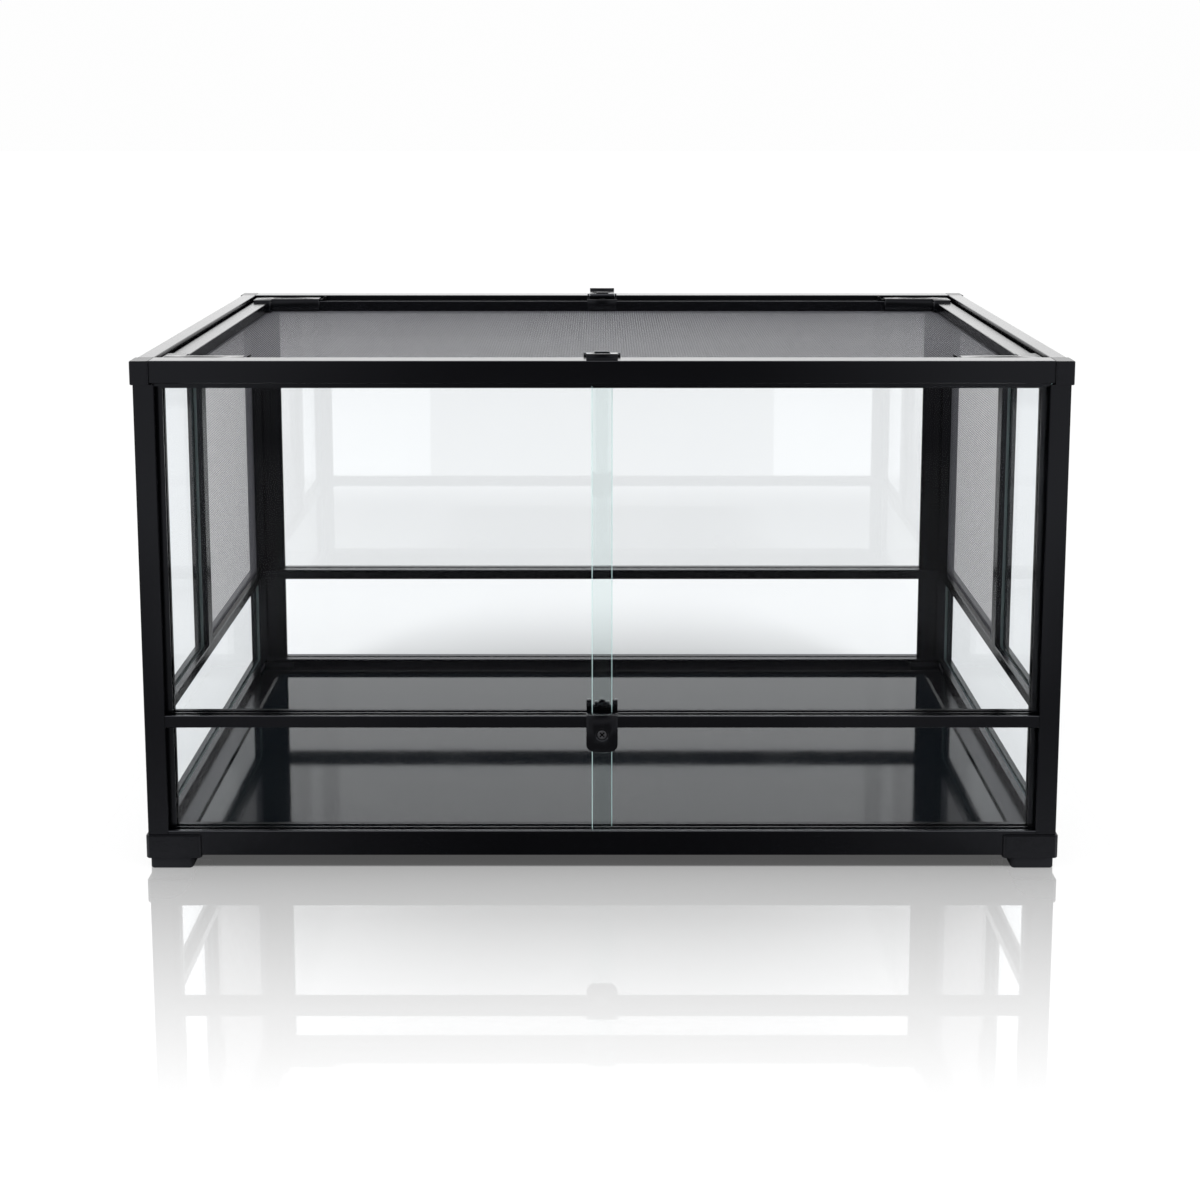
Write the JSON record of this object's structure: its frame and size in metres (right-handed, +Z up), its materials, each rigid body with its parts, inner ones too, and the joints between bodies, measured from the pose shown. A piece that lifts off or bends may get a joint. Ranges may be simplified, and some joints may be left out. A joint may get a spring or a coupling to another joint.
{
  "type": "reptile terrarium",
  "caption": "Wide glass tank on a black aluminium frame with sliding front doors, mesh side vents, a screen lid held by hasps, cable ports and a key lock.",
  "frame": {"origin": "on the table, under the middle of the tank's box", "axes": "+X along the front to the right, +Y from the front to the back, +Z up"},
  "size_m": [0.9048, 0.6048, 0.5166],
  "materials": {
    "frame_coat": "satin black powder coat",
    "block_plastic": "fine moulded grain",
    "clip_plastic": "semi-gloss moulded",
    "pad_rubber": "matt",
    "clear_glass": "clear float glass with ground edges",
    "floor_gloss": "glossy black",
    "wire_mesh": "dark coated wire",
    "pin_steel": "bright turned"
  },
  "bodies": {
    "frame": {"foot_pads": "pad_rubber", "foot_blocks": "block_plastic", "floor_panel": "floor_gloss", "bottom_rail_front": "frame_coat", "bottom_rail_back": "frame_coat", "bottom_rail_left": "frame_coat", "bottom_rail_right": "frame_coat", "lower_post_front_left": "frame_coat", "lower_post_front_right": "frame_coat", "lower_post_back_left": "frame_coat", "lower_post_back_right": "frame_coat", "mid_rail_front": "frame_coat", "mid_rail_back": "frame_coat", "mid_rail_left": "frame_coat", "mid_rail_right": "frame_coat", "upper_post_front_left": "frame_coat", "upper_post_front_right": "frame_coat", "upper_post_back_left": "frame_coat", "upper_post_back_right": "frame_coat", "top_rail_front": "frame_coat", "top_rail_back": "frame_coat", "top_rail_left": "frame_coat", "top_rail_right": "frame_coat", "top_rail_ends": "frame_coat", "post_joiners": "block_plastic", "top_corners": "block_plastic", "lower_pane_front_left": "clear_glass", "lower_pane_front_right": "clear_glass", "lower_pane_back": "clear_glass", "lower_pane_left": "clear_glass", "lower_pane_right": "clear_glass", "back_pane": "clear_glass", "side_pane_left": "clear_glass", "side_pane_right": "clear_glass", "side_divider_left": "frame_coat", "side_divider_right": "frame_coat", "side_mesh_left": "wire_mesh", "side_mesh_right": "wire_mesh", "lock_plate": "clip_plastic", "lock_keeper": "clip_plastic"},
    "left_door": {"door_left": "clear_glass"},
    "right_door": {"door_right": "clear_glass"},
    "lid": {"lid_rail_front": "frame_coat", "lid_rail_back": "frame_coat", "lid_rail_left": "frame_coat", "lid_rail_right": "frame_coat", "lid_mesh": "wire_mesh", "lid_corner_front_left": "clip_plastic", "lid_corner_front_right": "clip_plastic", "lid_corner_back_left": "clip_plastic", "lid_corner_back_right": "clip_plastic", "hasp_bases": "clip_plastic", "hasp_pins": "pin_steel"},
    "front_hasp": {"hasp_front": "clip_plastic"},
    "back_hasp": {"hasp_back": "clip_plastic"},
    "front_left_shutter": {"shutter_front_left": "clip_plastic"},
    "front_right_shutter": {"shutter_front_right": "clip_plastic"},
    "back_left_shutter": {"shutter_back_left": "clip_plastic"},
    "back_right_shutter": {"shutter_back_right": "clip_plastic"},
    "lock_key": {"lock_cylinder": "frame_coat"}
  },
  "joints": [
    {"name": "left_door_slide", "type": "slide", "parent": "frame", "child": "left_door", "axis": [1, 0, 0], "range_m": [0, 0.42]},
    {"name": "right_door_slide", "type": "slide", "parent": "frame", "child": "right_door", "axis": [-1, 0, 0], "range_m": [0, 0.42]},
    {"name": "lid_lift", "type": "slide", "parent": "frame", "child": "lid", "axis": [0, 0, 1], "range_m": [0, 0.15]},
    {"name": "front_hasp_hinge", "type": "hinge", "parent": "lid", "child": "front_hasp", "pos_m": [0, -0.266, 0.5104], "axis": [-1, 0, 0], "range_deg": [0, 100]},
    {"name": "back_hasp_hinge", "type": "hinge", "parent": "lid", "child": "back_hasp", "pos_m": [0, 0.266, 0.5104], "axis": [1, 0, 0], "range_deg": [0, 100]},
    {"name": "front_left_shutter_slide", "type": "slide", "parent": "lid", "child": "front_left_shutter", "axis": [1, 0, 0], "range_m": [0, 0.04]},
    {"name": "front_right_shutter_slide", "type": "slide", "parent": "lid", "child": "front_right_shutter", "axis": [-1, 0, 0], "range_m": [0, 0.04]},
    {"name": "back_left_shutter_slide", "type": "slide", "parent": "lid", "child": "back_left_shutter", "axis": [1, 0, 0], "range_m": [0, 0.04]},
    {"name": "back_right_shutter_slide", "type": "slide", "parent": "lid", "child": "back_right_shutter", "axis": [-1, 0, 0], "range_m": [0, 0.04]},
    {"name": "key_turn", "type": "hinge", "parent": "frame", "child": "lock_key", "pos_m": [0, -0.3, 0.1387], "axis": [0, 1, 0], "range_deg": [0, 90]}
  ]
}
